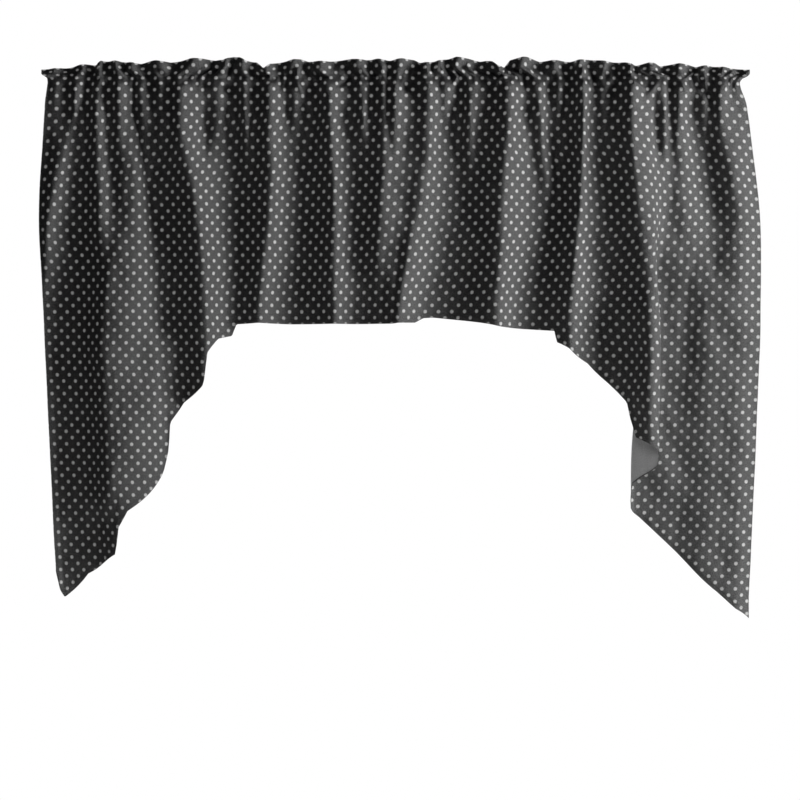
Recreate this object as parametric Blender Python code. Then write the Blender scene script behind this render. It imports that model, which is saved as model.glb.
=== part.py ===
"""Arched rod-pocket valance, one length of printed cloth gathered on an unseen rod.

Metres, +Z up. X runs across the window and the room side is -Y.
The origin is the middle of the heading's top edge, in the plane of the rod's axis.
"""

import math
from collections import namedtuple

import bpy
import numpy as np

MM = 0.001

# Driving heights, in millimetres below the top edge
UPPER_SEAM = 32.0
LOWER_SEAM = 90.0

# Drop from the heading to the skirt's middle surface, which leaves 0.3 mm where its edge tilts
SEAM_GAP = 0.65

# Cloth thickness in the solids, in millimetres, doubled at the frill and the seams
SKIRT_CLOTH = 1.5
POCKET_CLOTH = 1.4

# Heights at which the fold lines are given, in millimetres below the top edge
LEVELS = (LOWER_SEAM, 238.0, 433.0, 629.0, 915.0)

# Between these distances below the top edge the folds change to their depths near the hem
LOW_FROM = 240.0
LOW_TO = 420.0

# Height over which a short fold grows, and the share of its length over which it dies out
SIDE_FOLD_GROWTH = 55.0
SIDE_FOLD_FADE = 0.5

# Mesh of the skirt: rows crowd towards the seam, and doubled cloth gets more columns
SKIRT_ROWS = 12
ROW_CROWDING = 1.3
COLUMN_PITCH = 11.5
LEAST_COLUMNS = 3
TURN_SHARE = 0.25
NEAR_COLUMN = 0.05

COLOUR = (0.030, 0.030, 0.032, 1.0)

# One row for each fold line of the skirt, from left to right, in millimetres.
# seam to tip: distance from the middle at each of the levels
# depth, low_depth: how far behind the rod's plane the line hangs above and near the hem,
# less than 0 towards the room
# left, right: how long the cloth stays level beside the line, 1 for a plain wave
# turn: extra length by which the cloth after the line doubles back under it
Line = namedtuple(
    "Line",
    "seam middle low tail tip depth low_depth left right turn",
    defaults=(0.6, 0.6, 0.0),
)

FOLD_LINES = (
    Line(-600, -612, -605, -594, -583, 0, -4),
    Line(-546, -588, -600, -590, -578, -10, -6),
    Line(-529, -552, -580, -580, -567, 4, 3, 1.5, 1.5),
    Line(-464, -450, -488, -480, -476, -14, -25),
    Line(-445, -422, -402, -391, -387, 4, 5, 1.5, 1.5),
    Line(-371, -343, -325, -328, -332, -24, -26),
    Line(-277, -268, -266, -266, -266, 6, 2, 1.4, 1.2),
    Line(-214, -216, -236, -236, -236, -18, -14),
    Line(-153, -168, -180, -180, -180, 6, 6, 1.4, 1.5),
    Line(-113, -108, -107, -107, -107, -18, -20, 0.5, 0.8),
    Line(-79, -79, -74, -74, -74, -4, -6, 1.1, 1.5),
    Line(-10, -27, -29, -29, -29, -24, -17, 0.6, 0.8),
    Line(14, 6, -10, -10, -10, -14, -24, 1.2, 1.2),
    Line(60, 36, 0, 0, 0, -24, -30, 0.6, 0.7),
    Line(95, 98, 60, 60, 60, 0, -2, 1.5, 1.5),
    Line(185, 177, 168, 168, 168, -28, -32, 0.5, 0.5),
    Line(280, 264, 226, 226, 226, 6, -2, 1.6, 1.4),
    Line(313, 308, 292, 290, 290, -20, -28, 0.5, 0.6),
    Line(341, 340, 345, 355, 355, -5, -2, 1.4, 1.5),
    Line(391, 406, 425, 428, 428, -30, -34, 0.6, 1.2, 270),
    Line(465, 466, 440, 422, 422, -4, 14, 0.8, 1.0),
    Line(478, 482, 498, 513, 513, -5, 8, 1.0, 1.0),
    Line(510, 532, 534, 545, 548, 10, 9, 1.3, 1.3),
    Line(553, 576, 582, 582, 575, -4, 5, 0.8, 0.8),
    Line(592, 610, 614, 606, 594, 10, 12),
)

# Points of the lower edge, from left to right.
# place: number of fold lines to the left, plus the share of the way to the next line
# drop: distance below the top edge in millimetres
HemPoint = namedtuple("HemPoint", "place drop")

HEM = (
    HemPoint(0.00, 881),
    HemPoint(1.00, 903),
    HemPoint(2.00, 914),
    HemPoint(3.00, 838),
    HemPoint(3.06, 797),
    HemPoint(3.33, 765),
    HemPoint(3.58, 750),
    HemPoint(3.93, 700),
    HemPoint(4.00, 663),
    HemPoint(4.05, 616),
    HemPoint(4.35, 582),
    HemPoint(4.90, 554),
    HemPoint(5.00, 538),
    HemPoint(5.05, 500),
    HemPoint(5.50, 474),
    HemPoint(5.80, 469),
    HemPoint(6.00, 450),
    HemPoint(7.00, 447),
    HemPoint(8.00, 449),
    HemPoint(12.00, 449),
    HemPoint(13.52, 446),
    HemPoint(13.72, 439),
    HemPoint(14.00, 440),
    HemPoint(15.00, 452),
    HemPoint(16.00, 458),
    HemPoint(16.50, 463),
    HemPoint(16.56, 482),
    HemPoint(17.00, 491),
    HemPoint(17.63, 519),
    HemPoint(18.00, 546),
    HemPoint(18.35, 582),
    HemPoint(18.41, 608),
    HemPoint(18.53, 641),
    HemPoint(19.00, 655),
    HemPoint(19.15, 666),
    HemPoint(19.25, 688),
    HemPoint(19.75, 722),
    HemPoint(19.85, 750),
    HemPoint(20.00, 782),
    HemPoint(21.00, 872),
    HemPoint(22.00, 903),
    HemPoint(23.00, 928),
    HemPoint(24.00, 943),
)

# Short folds that start at one height and die out at another, in millimetres.
# top and end: distance from the middle at the two heights
# rise: how far the fold stands towards the room, width: half its breadth
# starts and fades: the two heights, below the top edge
SideFold = namedtuple("SideFold", "top end rise width starts fades")

SIDE_FOLDS = (
    SideFold(-512, -503, 15, 18, 50, 420),
    SideFold(-428, -424, 8, 11, 50, 225),
    SideFold(-324, -332, -10, 13, 50, 195),
    SideFold(-260, -255, 8, 9, 50, 205),
    SideFold(-187, -185, -6, 8, 50, 140),
    SideFold(-60, -58, 8, 8, 50, 155),
    SideFold(121, 121, 10, 10, 50, 220),
    SideFold(238, 258, 13, 13, 50, 275),
    SideFold(437, 440, -13, 11, 50, 215),
    SideFold(-405, -398, 9, 22, 440, 660),
    SideFold(-500, -488, -13, 26, 740, 960),
)

# One row for each gather of the heading, from left to right, in millimetres.
# frill and pocket: distance from the middle at the frill and at the pocket
# rise: how far the gather stands out, as a share of the full swing
Gather = namedtuple("Gather", "frill pocket rise")

GATHERS = (
    Gather(-585, -585, 0.8),
    Gather(-536, -542, 1.0),
    Gather(-505, -507, 1.0),
    Gather(-479, -471, 0.9),
    Gather(-451, -435, 0.8),
    Gather(-410, -403, 0.5),
    Gather(-345, -367, 1.0),
    Gather(-294, -303, 0.8),
    Gather(-262, -260, 0.9),
    Gather(-226, -218, 1.0),
    Gather(-172, -173, 0.9),
    Gather(-138, -121, 1.0),
    Gather(-63, -60, 0.8),
    Gather(-32, -26, 0.5),
    Gather(0, -5, 1.0),
    Gather(48, 51, 1.0),
    Gather(70, 83, 0.6),
    Gather(100, 121, 0.9),
    Gather(170, 187, 1.1),
    Gather(211, 231, 0.8),
    Gather(267, 272, 0.9),
    Gather(309, 311, 1.0),
    Gather(347, 347, 0.7),
    Gather(389, 393, 1.1),
    Gather(432, 449, 1.0),
    Gather(478, 474, 0.8),
    Gather(520, 519, 0.9),
    Gather(551, 544, 0.8),
)

# Points of the frill's top edge, from left to right, in millimetres.
# height: how far the edge lies above the plain top edge
EdgePoint = namedtuple("EdgePoint", "x height")

FRILL_EDGE = (
    EdgePoint(-605, -11),
    EdgePoint(-551, -12),
    EdgePoint(-527, -5),
    EdgePoint(-493, 0),
    EdgePoint(-443, -3),
    EdgePoint(-393, 0),
    EdgePoint(-366, -3),
    EdgePoint(-340, 3),
    EdgePoint(-289, 5),
    EdgePoint(-258, 7),
    EdgePoint(-232, -14),
    EdgePoint(-206, -3),
    EdgePoint(-167, 3),
    EdgePoint(-85, 3),
    EdgePoint(3, 3),
    EdgePoint(33, -5),
    EdgePoint(63, 0),
    EdgePoint(105, 5),
    EdgePoint(146, -2),
    EdgePoint(181, -10),
    EdgePoint(216, 5),
    EdgePoint(247, 0),
    EdgePoint(275, 2),
    EdgePoint(309, -2),
    EdgePoint(364, 0),
    EdgePoint(396, -8),
    EdgePoint(428, -3),
    EdgePoint(451, -9),
    EdgePoint(474, -5),
    EdgePoint(537, -9),
    EdgePoint(594, -14),
)

HEADING_ENDS = {"frill": (-606.0, 594.0), "pocket": (-601.0, 591.0)}

# How far each end of the heading is drawn in, at what height, over what height,
# and from what share of the half width on
NECK_LEFT = 5.0
NECK_RIGHT = 12.0
NECK_DROP = 42.0
NECK_REACH = 26.0
NECK_START = 0.93

# Swing of the cloth's two ends, as a share of a full gather
END_RISE = 0.3

# The front of the cloth on its way down over the rod, in millimetres.
# drop: distance below the top edge, stand: how far the front stands before the rod's axis
# gather: how far the gathers swing, fold: share of the skirt's folds that has formed
Profile = namedtuple("Profile", "drop stand gather fold")

FRONT = (
    Profile(0.0, 6.0, 11.0, 0.15),
    Profile(16.0, 7.0, 9.0, 0.18),
    Profile(UPPER_SEAM, 8.0, 6.0, 0.22),
    Profile(42.0, 17.0, 6.5, 0.36),
    Profile(62.0, 22.0, 5.5, 0.50),
    Profile(80.0, 20.5, 5.0, 0.62),
    Profile(LOWER_SEAM, 19.0, 4.5, 0.70),
    Profile(130.0, 11.5, 2.5, 0.92),
    Profile(170.0, 5.0, 0.8, 1.00),
    Profile(240.0, 0.0, 0.0, 1.00),
)

# The back wall of the pocket, which the rod holds away from the front.
# bulge: distance behind the rod's axis, gather: how far the gathers swing
Wall = namedtuple("Wall", "drop bulge gather")

BACK = (
    Wall(44.0, 13.5, 2.5),
    Wall(61.0, 18.5, 2.0),
    Wall(77.0, 12.0, 2.5),
)

# Distance from each stitch row to the pocket's inside
INSIDE_TRIM = 5.0


def remove_all():
    """Empty the scene."""
    for item in list(bpy.data.objects):
        bpy.data.objects.remove(item, do_unlink=True)


def cloth_material(name):
    """Return a matt near-black cloth."""
    material = bpy.data.materials.new(name)
    material.use_nodes = True
    shader = material.node_tree.nodes["Principled BSDF"]
    shader.inputs["Base Color"].default_value = COLOUR
    shader.inputs["Roughness"].default_value = 0.85
    shader.inputs["Metallic"].default_value = 0.0
    material.diffuse_color = COLOUR
    return material


def ease(value):
    """Return 0 below 0, 1 above 1 and a smooth step between."""
    value = min(max(value, 0.0), 1.0)
    return value * value * (3.0 - 2.0 * value)


def through(stops, values, at):
    """Return the smooth curve through values at stops, read at one place."""
    at = min(max(at, stops[0]), stops[-1])
    slopes = np.gradient(np.asarray(values, float), np.asarray(stops, float))
    step = 0
    while step < len(stops) - 2 and at > stops[step + 1]:
        step += 1
    span = stops[step + 1] - stops[step]
    part = (at - stops[step]) / span
    return hermite(values[step], values[step + 1], slopes[step] * span, slopes[step + 1] * span, part)


def hermite(start, end, leave, arrive, part):
    """Return the cubic from start to end with the given end slopes."""
    turn = part * (1.0 - part)
    rise = part * part * (3.0 - 2.0 * part)
    return start + (end - start) * rise + turn * (leave * (1.0 - part) - arrive * part)


def gather_columns(level):
    """Return the x of each heading column at the frill or the pocket."""
    crests = [getattr(gather, level) for gather in GATHERS]
    left, right = HEADING_ENDS[level]
    stops = [left, *crests, right]
    columns = [stops[0]]
    for here, after in zip(stops[:-1], stops[1:]):
        for quarter in (1, 2, 3, 4):
            columns.append(here + (after - here) * quarter / 4.0)
    return columns


def gather_wave():
    """Return the gathers' swing at each heading column, 1 on a full crest."""
    rises = [END_RISE, *[gather.rise for gather in GATHERS], END_RISE]
    wave = [rises[0]]
    for here, after in zip(rises[:-1], rises[1:]):
        hollow = -0.5 * (here + after)
        wave.extend((0.5 * (here + hollow), hollow, 0.5 * (hollow + after), after))
    return wave


def frill_edge():
    """Return the height of the frill's top edge at each heading column."""
    places = [point.x for point in FRILL_EDGE]
    heights = [point.height for point in FRILL_EDGE]
    return [float(np.interp(x, places, heights)) for x in gather_columns("frill")]


def column_x(column, drop):
    """Return the x of a heading column at a distance below the top edge."""
    frill = gather_columns("frill")
    pocket = gather_columns("pocket")
    x = frill[column] + (pocket[column] - frill[column]) * ease(drop / UPPER_SEAM)
    return x - neck_shift(pocket[column], drop)


def neck_shift(x, drop):
    """Return how far an end of the heading is drawn in towards the middle."""
    left, right = HEADING_ENDS["pocket"]
    side = 2.0 * (x - left) / (right - left) - 1.0
    near_end = ease((abs(side) - NECK_START) / (1.0 - NECK_START))
    neck = NECK_LEFT if side < 0.0 else NECK_RIGHT
    drawn_in = neck * near_end * math.exp(-((drop - NECK_DROP) / NECK_REACH) ** 2)
    return math.copysign(drawn_in, side)


def profile_value(name, drop):
    """Return one column of the front's profile at a distance below the top edge."""
    stops = [profile.drop for profile in FRONT]
    return through(stops, [getattr(profile, name) for profile in FRONT], drop)


def draped_depth(x, drop, fold_depth):
    """Return the depth of the front where the skirt's folds alone would put it at fold_depth."""
    swing = float(np.interp(x, GATHER_X, GATHER_WAVE))
    depth = fold_depth * profile_value("fold", drop) + side_depth(x, drop)
    return depth - profile_value("stand", drop) - profile_value("gather", drop) * swing


def heading_front(column, drop):
    """Return the depth of the heading's front at one column."""
    x = GATHER_X[column]
    return draped_depth(x, drop, float(np.interp(x, SEAM_X, SEAM_DEPTH)))


def seam_line():
    """Return the x and the depth of the skirt's folds along the lower seam."""
    places = line_places(LOWER_SEAM)
    points = []
    for segment in range(len(FOLD_LINES) - 1):
        points += [fold_point(segment, step / 40.0, LOWER_SEAM, places) for step in range(40)]
    points.append((places[-1], FOLD_LINES[-1].depth))
    return [point[0] for point in points], [point[1] for point in points]


def outer_loop(column, edge):
    """Return the points around the outside of one heading column."""
    front_drops = [profile.drop for profile in FRONT if profile.drop <= LOWER_SEAM]
    doubled = 2.0 * POCKET_CLOTH
    front = []
    behind = []
    for drop in front_drops:
        rise = edge * max(1.0 - drop / UPPER_SEAM, 0.0)
        x = column_x(column, drop)
        depth = heading_front(column, drop)
        front.append((x, depth, rise - drop))
        if drop <= UPPER_SEAM or drop == LOWER_SEAM:
            behind.append((x, depth + doubled, rise - drop))
    wall = [back_point(column, part, 0.0) for part in BACK]
    return front[::-1] + behind[:-1] + wall + behind[-1:]


def back_point(column, wall, inset):
    """Return a point of the pocket's back wall, moved in by inset."""
    depth = wall.bulge - inset - wall.gather * GATHER_WAVE[column]
    return column_x(column, wall.drop), depth, -wall.drop


def inner_loop(column):
    """Return the points around the pocket's inside at one heading column."""
    inside = [profile.drop for profile in FRONT if UPPER_SEAM < profile.drop < LOWER_SEAM]
    points = []
    low = LOWER_SEAM - INSIDE_TRIM
    high = UPPER_SEAM + INSIDE_TRIM
    for drop in (low, *inside[::-1], high):
        depth = heading_front(column, drop) + POCKET_CLOTH
        points.append((column_x(column, drop), depth, -drop))
    return points + [back_point(column, part, POCKET_CLOTH) for part in BACK]


def heading_loops():
    """Return the outer and inner loop of points of each heading column."""
    edges = frill_edge()
    outer = [outer_loop(column, edge) for column, edge in enumerate(edges)]
    inner = [inner_loop(column) for column in range(len(edges))]
    return outer, inner


def loft_faces(first, size, rings, outward):
    """Return the quads that join rings of points, each a closed loop."""
    faces = []
    for ring in range(rings - 1):
        for point in range(size):
            a = first + ring * size + point
            b = first + ring * size + (point + 1) % size
            face = (a, b, b + size, a + size)
            faces.append(face if outward else face[::-1])
    return faces


def end_faces(outer, inner, outer_size, inner_size, outward):
    """Return the two halves of one open end of the heading, front and back."""
    front_count = sum(1 for profile in FRONT if profile.drop <= LOWER_SEAM)
    seam = sum(1 for profile in FRONT if profile.drop < UPPER_SEAM) + front_count
    inner_front = inner_size - len(BACK)
    outside = [outer + point for point in range(outer_size)]
    inside = [inner + point for point in range(inner_size)]
    front = outside[:seam + 1] + inside[:inner_front][::-1]
    back = outside[seam:] + outside[:1] + inside[:1] + inside[inner_front - 1:][::-1]
    if outward:
        return [tuple(front[::-1]), tuple(back[::-1])]
    return [tuple(front), tuple(back)]


def add_object(name, points, faces, material):
    """Add one mesh object from points in millimetres."""
    mesh = bpy.data.meshes.new(name)
    mesh.from_pydata([tuple(value * MM for value in point) for point in points], [], faces)
    mesh.materials.append(material)
    mesh.validate()
    item = bpy.data.objects.new(name, mesh)
    bpy.context.collection.objects.link(item)
    return item


def build_heading():
    """Build the doubled frill and the open rod pocket as one solid."""
    outer_loops, inner_loops = heading_loops()
    rings = len(outer_loops)
    outer_size = len(outer_loops[0])
    inner_size = len(inner_loops[0])
    points = [point for loop in outer_loops for point in loop]
    inner_first = len(points)
    points += [point for loop in inner_loops for point in loop]
    faces = loft_faces(0, outer_size, rings, False)
    faces += loft_faces(inner_first, inner_size, rings, True)
    last_outer = (rings - 1) * outer_size
    last_inner = inner_first + (rings - 1) * inner_size
    faces += end_faces(0, inner_first, outer_size, inner_size, False)
    faces += end_faces(last_outer, last_inner, outer_size, inner_size, True)
    return add_object("heading", points, faces, cloth_material("heading_cloth"))


def line_places(drop):
    """Return the x of every fold line at a distance below the top edge."""
    return [through(LEVELS, line[:5], drop) for line in FOLD_LINES]


def line_depth(line, drop):
    """Return how far behind the rod's plane a fold line hangs at a height."""
    lowered = ease((drop - LOW_FROM) / (LOW_TO - LOW_FROM))
    return line.depth + (line.low_depth - line.depth) * lowered


def hem_drop(place):
    """Return how far below the top edge the hem lies at a place of the cloth."""
    return float(np.interp(place, [point.place for point in HEM], [point.drop for point in HEM]))


def fold_point(segment, part, drop, places):
    """Return x and depth of the folded cloth between two fold lines."""
    here = FOLD_LINES[segment]
    after = FOLD_LINES[segment + 1]
    reach = min((drop - LOWER_SEAM) / (hem_drop(segment) - LOWER_SEAM), 1.0)
    span = max(places[segment + 1] - places[segment], 0.0)
    leave = span * here.right + here.turn * reach
    arrive = span * after.left + here.turn * reach
    x = hermite(places[segment], places[segment + 1], leave, arrive, part)
    return x, hermite(line_depth(here, drop), line_depth(after, drop), 0.0, 0.0, part)


def side_depth(x, drop):
    """Return how far the short folds push the cloth back at a place."""
    depth = 0.0
    for fold in SIDE_FOLDS:
        run = (drop - fold.starts) / (fold.fades - fold.starts)
        if not 0.0 < run < 1.0:
            continue
        centre = fold.top + (fold.end - fold.top) * run
        strength = ease((drop - fold.starts) / SIDE_FOLD_GROWTH)
        strength *= ease((1.0 - run) / SIDE_FOLD_FADE)
        depth -= fold.rise * strength * math.exp(-((x - centre) / fold.width) ** 2)
    return depth


def cloth_point(segment, part, drop):
    """Return one point of the skirt's middle surface."""
    x, fold_depth = fold_point(segment, part, drop, line_places(drop))
    depth = draped_depth(x, drop, fold_depth) + POCKET_CLOTH
    return x - neck_shift(x, drop), depth, -drop


def segment_steps(segment):
    """Return how many columns one stretch between fold lines gets."""
    here = FOLD_LINES[segment]
    after = FOLD_LINES[segment + 1]
    across = abs(after.middle - here.middle)
    deep = abs(after.depth - here.depth)
    length = math.hypot(across, deep) + TURN_SHARE * here.turn
    return max(LEAST_COLUMNS, round(length / COLUMN_PITCH))


def skirt_columns():
    """Return the places of the skirt's columns: even steps, and every corner of the hem."""
    corners = [point.place for point in HEM]
    even = []
    for segment in range(len(FOLD_LINES) - 1):
        steps = segment_steps(segment)
        even += [segment + step / steps for step in range(1, steps)]
    lines = [float(number) for number in range(len(FOLD_LINES))]
    fixed = sorted(set(corners + lines))
    free = [place for place in even if min(abs(place - corner) for corner in fixed) > NEAR_COLUMN]
    return sorted(fixed + free)


def build_skirt():
    """Build the gathered cloth under the pocket, down to its arched hem."""
    points = []
    faces = []
    columns = skirt_columns()
    top = LOWER_SEAM + SEAM_GAP
    for place in columns:
        segment = min(int(place), len(FOLD_LINES) - 2)
        hem = hem_drop(place)
        for row in range(SKIRT_ROWS + 1):
            drop = top + (hem - top) * (row / SKIRT_ROWS) ** ROW_CROWDING
            points.append(cloth_point(segment, place - segment, drop))
    stride = SKIRT_ROWS + 1
    for column in range(len(columns) - 1):
        for row in range(SKIRT_ROWS):
            a = column * stride + row
            faces.append((a, a + 1, a + stride + 1, a + stride))
    skirt = add_object("skirt", points, faces, cloth_material("skirt_cloth"))
    cloth = skirt.modifiers.new("cloth_thickness", "SOLIDIFY")
    cloth.thickness = SKIRT_CLOTH * MM
    cloth.offset = 0.0
    cloth.use_rim = True
    return skirt


GATHER_X = gather_columns("pocket")
GATHER_WAVE = gather_wave()
SEAM_X, SEAM_DEPTH = seam_line()


def main():
    """Build the valance."""
    remove_all()
    build_heading()
    build_skirt()


main()
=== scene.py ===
"""Studio view of an arched rod-pocket valance in near-black cloth with small light dots.

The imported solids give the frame. Two sheets of thin printed cloth stand for them: the heading
with its frill and open pocket, and the gathered skirt with its turned hems. Thread is added as
single stitches. All tables are in millimetres: x runs from the middle to the right, a drop is
measured down from the plain top edge, and a depth is measured from the rod's plane to the back.
"""

from __future__ import annotations

import logging
import math
from dataclasses import dataclass, field
from enum import Enum
from typing import ClassVar, NamedTuple, Sequence, Union

import bpy
import numpy as np
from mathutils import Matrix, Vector


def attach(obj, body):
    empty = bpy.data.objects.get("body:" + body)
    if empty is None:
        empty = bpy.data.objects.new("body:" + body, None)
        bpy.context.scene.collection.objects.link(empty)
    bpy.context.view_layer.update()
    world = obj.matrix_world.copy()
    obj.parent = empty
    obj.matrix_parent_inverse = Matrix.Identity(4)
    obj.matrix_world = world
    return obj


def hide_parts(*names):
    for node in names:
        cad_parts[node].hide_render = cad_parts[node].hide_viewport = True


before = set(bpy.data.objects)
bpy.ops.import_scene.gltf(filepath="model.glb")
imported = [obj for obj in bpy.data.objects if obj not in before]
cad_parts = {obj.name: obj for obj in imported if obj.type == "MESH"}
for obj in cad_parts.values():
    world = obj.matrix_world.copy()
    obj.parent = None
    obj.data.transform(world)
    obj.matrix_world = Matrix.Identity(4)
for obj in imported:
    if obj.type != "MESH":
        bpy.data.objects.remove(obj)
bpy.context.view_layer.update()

LOG = logging.getLogger("valance")
MM = 0.001
SMOOTH_ANGLE = math.radians(50.0)
Array = np.ndarray
Socket = bpy.types.NodeSocket
Value = Union[Socket, float]
Colour = tuple[float, float, float]

# Heights in millimetres below the plain top edge
UPPER_SEAM = 32.0
LOWER_SEAM = 90.0

# Heights at which the places of the fold lines are given
LEVELS = (LOWER_SEAM, 238.0, 433.0, 629.0, 915.0)

# Flat sizes in metres before the cloth was gathered, the skirt's area once its arch is cut out,
# and the names of the cloth's map and edge attribute
CLOTH_WIDTH = 1.50
SKIRT_LENGTH = 0.87
SKIRT_AREA = 0.739
HEADING_LENGTH = 0.208
FLAT_MAP = "flat_cloth"
# The edge attribute marks the rows at the hem's fold, where the print is left off so the dark ground shows
# as a painted shade line
PAINTED_SHADE_EDGE_MAP = "painted_shade_edge"


class FoldLine(NamedTuple):
    """One line of the skirt's folds, from left to right.

    The first five values are its distance from the middle at each level. depth and low_depth
    are its depth above and near the hem. left and right say how far the cloth stays level on
    each side of the line, 1 for a plain wave and less for a sharper crease. turn is how far
    the cloth to the right of the line doubles back under it.
    """

    seam: float
    middle: float
    low: float
    tail: float
    tip: float
    depth: float
    low_depth: float
    left: float = 0.6
    right: float = 0.6
    turn: float = 0.0


FOLD_LINES = (
    FoldLine(-598, -610, -603, -594, -580, 0, 2),
    FoldLine(-546, -588, -600, -590, -575, -10, 3),
    FoldLine(-529, -552, -580, -580, -567, 4, 5, 1.5, 2.2),
    FoldLine(-464, -450, -488, -480, -476, -14, -28, 1.0, 2.2),
    FoldLine(-445, -422, -402, -391, -387, 4, -3, 0.4, 1.5),
    FoldLine(-371, -343, -325, -328, -332, -24, -26),
    FoldLine(-277, -276, -275, -272, -272, 6, 2, 1.4, 1.2),
    FoldLine(-214, -216, -236, -236, -236, -18, -14),
    FoldLine(-153, -168, -180, -180, -180, 6, 6, 1.4, 1.5),
    FoldLine(-113, -108, -107, -107, -107, -18, -20, 0.5, 0.8),
    FoldLine(-79, -79, -74, -74, -74, -4, -6, 1.1, 1.5),
    FoldLine(-10, -27, -29, -29, -29, -24, -17, 0.6, 0.8),
    FoldLine(14, 6, -10, -10, -10, -19, -24, 1.2, 1.2),
    FoldLine(60, 36, 0, 0, 0, -24, -30, 0.6, 0.7),
    FoldLine(95, 98, 60, 60, 60, 0, -2, 1.5, 1.5),
    FoldLine(185, 177, 168, 168, 168, -28, -32, 0.5, 0.5),
    FoldLine(280, 264, 226, 226, 226, 6, -2, 1.6, 1.4),
    FoldLine(313, 308, 292, 290, 290, -20, -28, 0.5, 0.6),
    FoldLine(341, 340, 345, 355, 355, -5, -2, 1.4, 1.5),
    FoldLine(391, 406, 432, 428, 428, -30, -31.5, 0.6, 1.2, 145),
    FoldLine(465, 466, 432, 412, 412, -4, 14, 0.8, 1.0),
    FoldLine(478, 482, 485, 470, 470, -5, 10, 1.0, 1.0),
    FoldLine(510, 532, 534, 541, 541, 10, 0, 1.3, 1.0),
    FoldLine(553, 576, 580, 578, 573, -4, -2, 1.0, 1.3),
    FoldLine(593, 615, 617, 610, 597, 10, 4),
)


class HemPoint(NamedTuple):
    """A point of the lower edge: the number of fold lines to its left, plus its share of the
    way to the next line, and its drop."""

    place: float
    drop: float


HEM = tuple(
    HemPoint(*row)
    for row in (
        (0, 868), (1, 897), (2, 913), (2.28, 873), (3, 838), (3.02, 795), (3.12, 765), (3.27, 750),
        (3.77, 700), (4, 663), (4.05, 616), (4.35, 582), (4.9, 554), (5, 538), (5.05, 500), (5.5, 474),
        (5.88, 469), (6, 449), (7, 447), (8, 449), (12, 449), (13.6, 447), (13.8, 439), (14, 438),
        (15, 453), (16, 458), (16.5, 461), (16.56, 480), (17, 492), (17.63, 516), (18, 544),
        (18.35, 582), (18.41, 608), (18.53, 641), (19, 655), (19.15, 666), (19.25, 688), (19.75, 722),
        (19.8, 748), (19.85, 762), (19.92, 769), (20, 776), (21, 832), (22, 903), (23, 932), (24, 949),
    )
)


class Crease(NamedTuple):
    """A short ridge or trough that starts at one drop and dies out at another.

    top and end are its distance from the middle at the two drops, rise is how far it stands
    to the room, and width is half its breadth.
    """

    top: float
    end: float
    rise: float
    width: float
    starts: float
    fades: float


CREASES = tuple(
    Crease(*row)
    for row in (
        (-512, -503, 15, 18, 50, 420), (-428, -424, 8, 11, 50, 225), (-324, -332, -10, 13, 50, 195),
        (-260, -255, 8, 9, 50, 205), (-187, -185, -6, 8, 50, 140), (-60, -58, 8, 8, 50, 155),
        (121, 121, 10, 10, 50, 220), (238, 258, 13, 13, 50, 275), (437, 440, -13, 11, 50, 215),
        (-405, -398, 9, 22, 440, 660), (-500, -488, -13, 26, 740, 960), (419, 420, 15, 20, 380, 720),
    )
)

# Pinched folds at the upper stitch row, the same columns
PINCHES = tuple(
    Crease(*row)
    for row in (
        (-524, -505, -6, 6, 14, 44), (-515, -497, 6, 6, 20, 46), (-418, -403, -4, 4, 40, 58),
        (-352, -369, -6, 5, 24, 52), (-296, -286, -6, 5, 38, 64), (-268, -252, 4, 5, 36, 62),
        (-202, -226, -6, 5, 22, 50), (-174, -154, 6, 5, 28, 78), (-116, -143, -6, 5, 24, 50),
        (-70, -108, -6, 6, 24, 54), (-59, -50, -6, 4, 22, 42), (-37, -46, -6, 4, 22, 42),
        (12, 16, -6, 5, 34, 64), (38, 54, 6, 6, 22, 56), (107, 91, 8, 4, 4, 58),
        (147, 161, 6, 4, 26, 54), (176, 162, 6, 4, 26, 54), (212, 219, -6, 5, 24, 58),
        (232, 248, -4, 5, 22, 42), (321, 291, 6, 5, 8, 56), (303, 330, 6, 5, 28, 58),
        (326, 347, -8, 5, 18, 62), (378, 345, -6, 7, 32, 76), (384, 420, 6, 6, 32, 60),
        (444, 418, 6, 6, 26, 78), (448, 464, 6, 4, 12, 34), (470, 492, 6, 5, 26, 68),
        (500, 485, 6, 4, 12, 40), (505, 530, -8, 8, 34, 76), (548, 556, 6, 7, 26, 60),
    )
)


class Gather(NamedTuple):
    """One gather of the heading: its x at the frill and at the pocket, and how far it stands out."""

    frill: float
    pocket: float
    rise: float


GATHERS = tuple(
    Gather(*row)
    for row in (
        (-585, -585, 0.3), (-536, -542, 1), (-505, -507, 1), (-479, -471, 0.9), (-451, -435, 0.8),
        (-410, -403, 0.5), (-345, -367, 1), (-294, -303, 0.8), (-262, -260, 0.9), (-226, -218, 1),
        (-172, -173, 0.9), (-138, -121, 1), (-63, -60, 0.8), (-32, -26, 0.5), (0, -5, 1), (48, 51, 1),
        (70, 83, 0.6), (100, 121, 0.9), (170, 187, 1.1), (211, 239, 0.8), (267, 272, 0.9),
        (309, 311, 1), (347, 347, 0.7), (389, 393, 1.1), (432, 449, 1), (478, 474, 0.8),
        (520, 519, 0.9), (551, 544, 0.8),
    )
)

# The x of the heading's two ends, and how far the half gathers there stand out
HEADING_ENDS = {"frill": (-610.0, 595.0), "pocket": (-601.0, 591.0)}
END_RISE = 0.3


class EdgePoint(NamedTuple):
    """A place on the frill's top edge and its height above the plain top edge."""

    x: float
    height: float


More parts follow.
